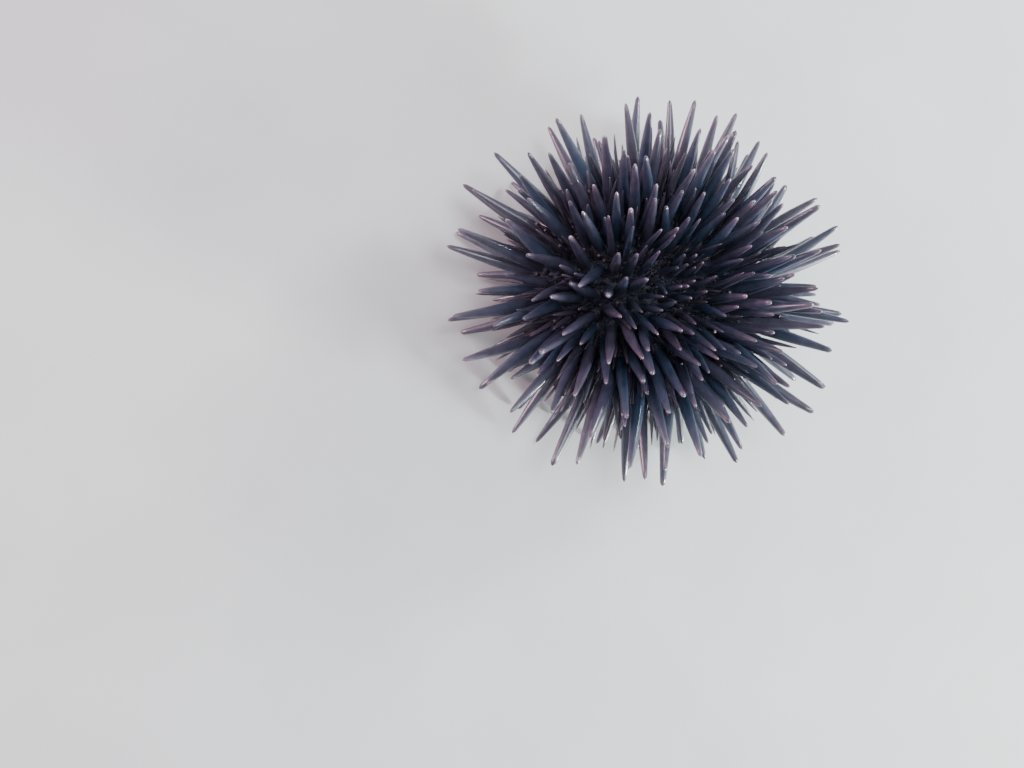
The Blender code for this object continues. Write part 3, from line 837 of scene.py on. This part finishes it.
SMALL_SPINE = spine_finish("small_spine", SPINE_RIM, SMALL_DARK, SMALL_WARM, SPINE_TIP)
taken_places = np.column_stack([ALL_SPINES[:, ROOT], PRIMARY_ROOM_SHARE * ALL_SPINES[:, RADIUS]])
taken_places = add_slender(
    "long_secondary_spines", LONG_COUNT, LONG_ROOM, LONG_LENGTH, LONG_RADIUS, LONG_SIDES,
    taken_places, LONG_SEED,
)
taken_places = add_slender(
    "secondary_spines", SECONDARY_COUNT, SECONDARY_ROOM, SECONDARY_LENGTH, SECONDARY_RADIUS,
    SECONDARY_SIDES, taken_places, SECONDARY_SEED,
)
add_slender(
    "miliary_spines", MILIARY_COUNT, MILIARY_ROOM, MILIARY_LENGTH, MILIARY_RADIUS,
    MILIARY_SIDES, taken_places, MILIARY_SEED,
)

# The tube feet. Soft water-filled stalks that come out through the pores at both edges of the
# ambulacral bands, each with a small disc at its end that holds on by suction.
FEET_ROWS = 24
FEET_ENDS = (math.radians(28.0), math.radians(146.0))
FEET_PLACES = (0.86, 0.95)
FEET_LENGTH = (0.22, 0.46)
FEET_RADIUS = 0.00017
FEET_SIDES = 8
FEET_LEAN = 0.26
FEET_BOW = 0.14
FEET_STEPS = np.array([-0.05, 0.06, 0.22, 0.42, 0.62, 0.80, 0.90, 0.935, 0.965, 0.985, 0.992])
FEET_SHARES = np.array([1.30, 1.15, 1.00, 0.92, 0.86, 0.84, 1.05, 1.80, 2.30, 2.25, 1.30])
FOOT_LOOK = ((0.030, 0.014, 0.022), (0.095, 0.050, 0.062), (0.28, 0.42), 900.0, 0.00004)
FEET_SEED = 41


def foot_places():
    """Polar and around angles of the tube feet: rows down each band, near both of its edges and
    in turn at two distances from them."""
    polar = np.linspace(*FEET_ENDS, FEET_ROWS)
    places = np.array(FEET_PLACES)[np.arange(FEET_ROWS) % len(FEET_PLACES)]
    middles = 2.0 * math.pi / ZONE_PAIRS * np.arange(ZONE_PAIRS)
    sides = np.array([-1.0, 1.0])
    around = middles[:, None, None] + sides[:, None] * places * AMBULACRUM_HALF_ANGLE
    return np.broadcast_to(polar, around.shape).reshape(-1), around.reshape(-1)


FOOT = plain_finish("tube_foot", FOOT_LOOK)
feet_random = np.random.default_rng(FEET_SEED)
feet_polar, feet_around = foot_places()
feet_root = test_points(feet_polar, feet_around)
feet_lean = FEET_LEAN * feet_random.normal(size=feet_root.shape)
feet_direction = unit(test_normals(feet_polar, feet_around) + feet_lean)
feet_share = feet_random.uniform(*FEET_LENGTH, len(feet_polar))
feet_length = np.vectorize(spine_length)(feet_polar) * feet_share
feet_clear = clear_of_coat(feet_root, feet_direction, feet_length, FEET_RADIUS)
feet_length = feet_length[feet_clear]
add_rods(
    "tube_feet", feet_root[feet_clear], feet_direction[feet_clear],
    FEET_STEPS * feet_length[:, None],
    np.tile(FEET_SHARES * FEET_RADIUS, (len(feet_length), 1)), feet_length, FEET_SIDES, FEET_BOW,
    (FOOT, "skin", ZONE_NODES), FEET_SEED,
)

# The apical disc. Ten hard plates stand in a ring at the top, five of them with a pore for eggs or
# sperm, and small loose plates fill the middle. All are part of the shell, under the same skin.
DISC_RING = 0.0045
DISC_RADII = (0.00125, 0.00085)
DISC_MIDDLE_RINGS = ((9, 0.0026, 0.00052), (5, 0.0014, 0.00046), (1, 0.0002, 0.00040))
DISC_STEPS = np.array([-0.00040, 0.00000, 0.00010, 0.00018, 0.00021])
DISC_SHARES = np.array([1.02, 1.00, 0.92, 0.70, 0.30])
DISC_TOP = 0.00022
DISC_SIDES = 9
DISC_SEED = 51
PLATE_LOOK = ((0.016, 0.017, 0.028), (0.038, 0.034, 0.050), (0.40, 0.62), 800.0, 0.00005)


def disc_places():
    """Radius from the middle, angle and size of each plate: wide and narrow ones in turn in the
    outer ring, and rings of small ones inside it."""
    index = np.arange(2 * ZONE_PAIRS)
    sizes = np.array(DISC_RADII)[(index + 1) % 2]
    rings = [np.column_stack([np.full(len(index), DISC_RING), index * math.pi / ZONE_PAIRS, sizes])]
    for count, radius, size in DISC_MIDDLE_RINGS:
        angles = 2.0 * math.pi * np.arange(count) / count + radius / DISC_RING
        rings.append(np.column_stack([np.full(count, radius), angles, np.full(count, size)]))
    return np.concatenate(rings)


PLATE = plain_finish("apical_plate", PLATE_LOOK, SKIN_SPECULAR)
disc = disc_places()
disc_polar = np.arcsin(disc[:, 0] / (TEST_LENGTH / 2.0))
add_rods(
    "apical_plates", test_points(disc_polar, disc[:, 1]), test_normals(disc_polar, disc[:, 1]),
    np.tile(DISC_STEPS, (len(disc), 1)), DISC_SHARES * disc[:, 2, None],
    np.full(len(disc), DISC_TOP), DISC_SIDES, 0.0, (PLATE, "skin", ["apical_disc"]), DISC_SEED,
)

# The mouth. Soft lips ring the tips of five jaws, each of which holds one long white tooth that
# grows from its root and wears to a chisel. Ten stubby feet and ten bushy gills stand round it.
LIP_RING = 0.0036
LIP_TUBE = 0.00085
LIP_HEIGHT = 0.0087
LIP_COLUMNS = 240
LIP_ROWS = 24
LIP_FOLDS = 30
LIP_FOLD_SHARE = 0.12
JAW_ROOT = (0.0019, 0.0094)
JAW_TIP = (0.0010, 0.0066)
JAW_STEPS = np.array([0.0, 0.2, 0.45, 0.7, 0.88, 0.97])
JAW_SHARES = np.array([0.00135, 0.00135, 0.00120, 0.00095, 0.00070, 0.00040])
TOOTH_ROOT = (0.0016, 0.0088)
TOOTH_TIP = (0.00042, 0.0038)
TOOTH_STEPS = np.array([0.0, 0.15, 0.35, 0.55, 0.72, 0.85, 0.94, 0.99])
TOOTH_SHARES = np.array([0.00072, 0.00076, 0.00074, 0.00066, 0.00054, 0.00040, 0.00026, 0.00012])
TOOTH_SIDES = 16
MOUTH_FOOT_RING = 0.0058
MOUTH_FOOT_SPLIT = math.radians(10.0)
MOUTH_FOOT_LENGTH = 0.0021
MOUTH_FOOT_RADIUS = 0.00036
MOUTH_FOOT_SEED = 62
GILL_COUNT = 2 * ZONE_PAIRS
GILL_TUFTS = 14
GILL_PLACE = 0.8
GILL_RING_SPREAD = (0.93, 1.05)
GILL_LEAN = 0.45
GILL_BOW = 0.1
GILL_LENGTH = (0.0011, 0.0021)
GILL_RADIUS = 0.00026
GILL_STEPS = np.array([-0.10, 0.20, 0.45, 0.70, 0.88, 0.97])
GILL_SHARES = np.array([0.70, 0.85, 1.10, 1.15, 0.80, 0.35])
GILL_SPREAD = 0.055
MOUTH_SEED = 61
GILL_SEED = 63
LIP_LOOK = ((0.060, 0.030, 0.034), (0.165, 0.095, 0.090), (0.28, 0.42), 700.0, 0.00007)
JAW_LOOK = ((0.420, 0.380, 0.310), (0.640, 0.600, 0.520), (0.42, 0.60), 900.0, 0.00004)
TOOTH_LOOK = ((0.700, 0.660, 0.560), (0.860, 0.840, 0.770), (0.28, 0.40), 1100.0, 0.00003)
GILL_LOOK = ((0.060, 0.028, 0.034), (0.180, 0.100, 0.098), (0.28, 0.42), 1200.0, 0.00005)


def ring_faces(columns, rows):
    """Quads of a closed ring-shaped tube: columns round the ring and rows round the tube."""
    column, row = np.meshgrid(np.arange(columns), np.arange(rows), indexing="ij")
    after = (column + 1) % columns
    above = (row + 1) % rows
    corners = [column * rows + row, after * rows + row, after * rows + above, column * rows + above]
    return np.stack(corners, axis=-1).reshape(-1, 4)


def ring_uvs(columns, rows):
    """Corner UVs of the same quads, unrolled over the square."""
    column, row = np.meshgrid(np.arange(columns), np.arange(rows), indexing="ij")
    u = np.stack([column, column + 1, column + 1, column], axis=-1) / columns
    v = np.stack([row, row, row + 1, row + 1], axis=-1) / rows
    flat = np.stack([u, v], axis=-1).reshape(-1, 2)
    return {"OFBake": CELL_MARGIN / 2.0 + (1.0 - CELL_MARGIN) * flat}


def lip_points():
    """A circle swept round the mouth, with folds: its radius varies as a sine round the ring."""
    around = np.linspace(0.0, 2.0 * math.pi, LIP_COLUMNS, endpoint=False)[:, None]
    turn = np.linspace(0.0, 2.0 * math.pi, LIP_ROWS, endpoint=False)[None, :]
    tube = LIP_TUBE * (1.0 + LIP_FOLD_SHARE * np.sin(LIP_FOLDS * around))
    ring = LIP_RING + tube * np.cos(turn)
    x = ring * np.cos(around)
    y = ring * np.sin(around)
    z = LIP_HEIGHT + tube * np.sin(turn)
    return np.stack([x, y, z], axis=-1).reshape(-1, 3)


def five_rods(root, tip):
    """Roots, directions and lengths of five rods round the mouth, from two pairs of a radius and
    a height."""
    angles = 2.0 * math.pi * np.arange(ZONE_PAIRS) / ZONE_PAIRS + math.pi / ZONE_PAIRS
    ring = np.column_stack([np.cos(angles), np.sin(angles)])
    start = np.column_stack([root[0] * ring, np.full(ZONE_PAIRS, root[1])])
    end = np.column_stack([tip[0] * ring, np.full(ZONE_PAIRS, tip[1])])
    return start, unit(end - start), np.linalg.norm(end - start, axis=1)


LIP = plain_finish("lip", LIP_LOOK)
JAW = plain_finish("jaw", JAW_LOOK)
TOOTH = plain_finish("tooth", TOOTH_LOOK)
no_triangles = np.zeros((0, 3), int)
add_piece(
    "lips", lip_points(), ring_faces(LIP_COLUMNS, LIP_ROWS), no_triangles, LIP, "skin", ["jaws"],
    ring_uvs(LIP_COLUMNS, LIP_ROWS),
)
for name, ends, steps, shares, finish in (
    ("jaw_tips", (JAW_ROOT, JAW_TIP), JAW_STEPS, JAW_SHARES, JAW),
    ("teeth", (TOOTH_ROOT, TOOTH_TIP), TOOTH_STEPS, TOOTH_SHARES, TOOTH),
):
    root, direction, length = five_rods(*ends)
    add_rods(
        name, root, direction, steps * length[:, None], np.tile(shares, (ZONE_PAIRS, 1)), length,
        TOOTH_SIDES, 0.0, (finish, "teeth", ["jaws"]), MOUTH_SEED,
    )

mouth_around = (2.0 * math.pi * np.arange(ZONE_PAIRS) / ZONE_PAIRS)[:, None]
mouth_around = (mouth_around + np.array([-MOUTH_FOOT_SPLIT, MOUTH_FOOT_SPLIT])).reshape(-1)
mouth_polar = math.pi - math.asin(MOUTH_FOOT_RING / (TEST_LENGTH / 2.0))
mouth_polar = np.full(len(mouth_around), mouth_polar)
mouth_length = np.full(len(mouth_around), MOUTH_FOOT_LENGTH)
add_rods(
    "mouth_feet", test_points(mouth_polar, mouth_around), test_normals(mouth_polar, mouth_around),
    FEET_STEPS * mouth_length[:, None],
    np.tile(FEET_SHARES * MOUTH_FOOT_RADIUS, (len(mouth_length), 1)), mouth_length, TOOTH_SIDES,
    0.0, (FOOT, "skin", ["peristome"]), MOUTH_FOOT_SEED,
)

gill_random = np.random.default_rng(MOUTH_SEED)
gill_middles = 2.0 * math.pi * np.arange(ZONE_PAIRS) / ZONE_PAIRS + math.pi / ZONE_PAIRS
gill_middles = gill_middles[:, None] + np.array([-GILL_PLACE, GILL_PLACE]) * INTERAMBULACRUM_HALF_ANGLE
gill_spread = GILL_SPREAD * gill_random.normal(size=(GILL_COUNT, GILL_TUFTS))
gill_around = (gill_middles.reshape(-1, 1) + gill_spread).reshape(-1)
gill_ring = PERISTOME_RADIUS / (TEST_LENGTH / 2.0)
gill_ring = gill_ring * gill_random.uniform(*GILL_RING_SPREAD, gill_around.shape)
gill_polar = math.pi - np.arcsin(gill_ring)
gill_root = test_points(gill_polar, gill_around)
gill_lean = GILL_LEAN * gill_random.normal(size=gill_root.shape)
gill_direction = unit(test_normals(gill_polar, gill_around) + gill_lean)
gill_length = gill_random.uniform(*GILL_LENGTH, len(gill_root))
GILL = plain_finish("gill", GILL_LOOK)
add_rods(
    "gills", gill_root, gill_direction, GILL_STEPS * gill_length[:, None],
    np.tile(GILL_SHARES * GILL_RADIUS, (len(gill_root), 1)), gill_length, FEET_SIDES,
    GILL_BOW, (GILL, "skin", ["peristome"]), GILL_SEED,
)

# The floor, lights and camera. A wide, pale, matt table in a dim room. The key light comes from
# the upper right, a low cool one from the lower right, a pink one from the left and a soft one
# from above. The camera looks almost straight down, as in the photo.
FLOOR_HALF = 4.0
FLOOR_LOOK = ((0.68, 0.675, 0.665), (0.74, 0.735, 0.725), (0.62, 0.78), 26.0, 0.00006)
LOOK_HEIGHT = 0.020
CAMERA_ELEVATION = math.radians(74.0)
CAMERA_SIDE = (-0.97, -0.23)
CAMERA_LENS = 50.0
CAMERA_SENSOR = 36.0
CAMERA_NEAR = 0.01
FRAME_WIDTH = 0.246
FRAME_PIXELS = 1024.0
BODY_PIXEL = (650.0, 290.0)
IMAGE_MIDDLE = (512.0, 384.0)
ROOM_COLOR = (0.78, 0.83, 0.90, 1.0)
ROOM_STRENGTHS = (0.48, 0.75)
LIGHTS = (
    ("key_light", (0.50, 0.34, 0.34), 0.12, 4.5, (0.92, 0.97, 1.0)),
    ("rim_light", (0.54, -0.30, 0.16), 0.08, 10.0, (0.86, 1.00, 1.00)),
    ("fill_light", (-0.56, 0.16, 0.12), 0.22, 4.2, (1.0, 0.62, 0.74)),
    ("top_light", (0.0, 0.05, 0.90), 0.30, 5.0, (0.90, 0.96, 1.0)),
)


def add_floor():
    """One large quad, a little mottled and matt."""
    mesh = bpy.data.meshes.new("floor")
    half = FLOOR_HALF
    corners = [(-half, -half, 0.0), (half, -half, 0.0), (half, half, 0.0), (-half, half, 0.0)]
    mesh.from_pydata(corners, [], [(0, 1, 2, 3)])
    mesh.materials.append(plain_finish("floor", FLOOR_LOOK))
    item = bpy.data.objects.new("floor", mesh)
    bpy.context.scene.collection.objects.link(item)


def add_light(name, place, size, energy, color):
    """A square area light that looks at the animal."""
    light = bpy.data.lights.new(name, "AREA")
    light.size = size
    light.energy = energy
    light.color = color
    item = bpy.data.objects.new(name, light)
    item.location = place
    item.rotation_euler = (-Vector(place)).to_track_quat("-Z", "Y").to_euler()
    bpy.context.scene.collection.objects.link(item)


def add_room():
    """Dim light from all sides. Its strength grows with the height of the place on the walls."""
    world = bpy.data.worlds.new("room")
    world.use_nodes = True
    background = world.node_tree.nodes["Background"]
    background.inputs["Color"].default_value = ROOM_COLOR
    places = add_node(world, "ShaderNodeTexCoord").outputs["Generated"]
    height = add_node(world, "ShaderNodeSeparateXYZ", (("Vector", places),)).outputs["Z"]
    strength = add_range(world, height, *ROOM_STRENGTHS)
    world.node_tree.links.new(strength, background.inputs["Strength"])
    bpy.context.scene.world = world


def add_camera():
    """The camera looks down at the animal, with +Y up in the picture. It is moved sideways in its
    own plane until the body stands at its pixel, at the photo's scale."""
    flat = math.cos(CAMERA_ELEVATION)
    back = Vector((CAMERA_SIDE[0] * flat, CAMERA_SIDE[1] * flat, math.sin(CAMERA_ELEVATION)))
    back.normalize()
    right = Vector((0.0, 1.0, 0.0)).cross(back).normalized()
    up = back.cross(right)
    distance = FRAME_WIDTH * CAMERA_LENS / CAMERA_SENSOR
    pixel = FRAME_WIDTH / FRAME_PIXELS
    move_right = (BODY_PIXEL[0] - IMAGE_MIDDLE[0]) * pixel
    move_up = (IMAGE_MIDDLE[1] - BODY_PIXEL[1]) * pixel
    data = bpy.data.cameras.new("camera")
    data.lens = CAMERA_LENS
    data.sensor_width = CAMERA_SENSOR
    data.clip_start = CAMERA_NEAR
    item = bpy.data.objects.new("camera", data)
    place = Vector((*AXIS_SHIFT[:2], LOOK_HEIGHT)) + back * distance
    place = place - right * move_right - up * move_up
    turn = Matrix((right, up, back)).transposed().to_4x4()
    item.matrix_world = Matrix.Translation(place) @ turn
    bpy.context.scene.collection.objects.link(item)
    bpy.context.scene.camera = item


add_floor()
for light in LIGHTS:
    add_light(*light)
add_room()
add_camera()
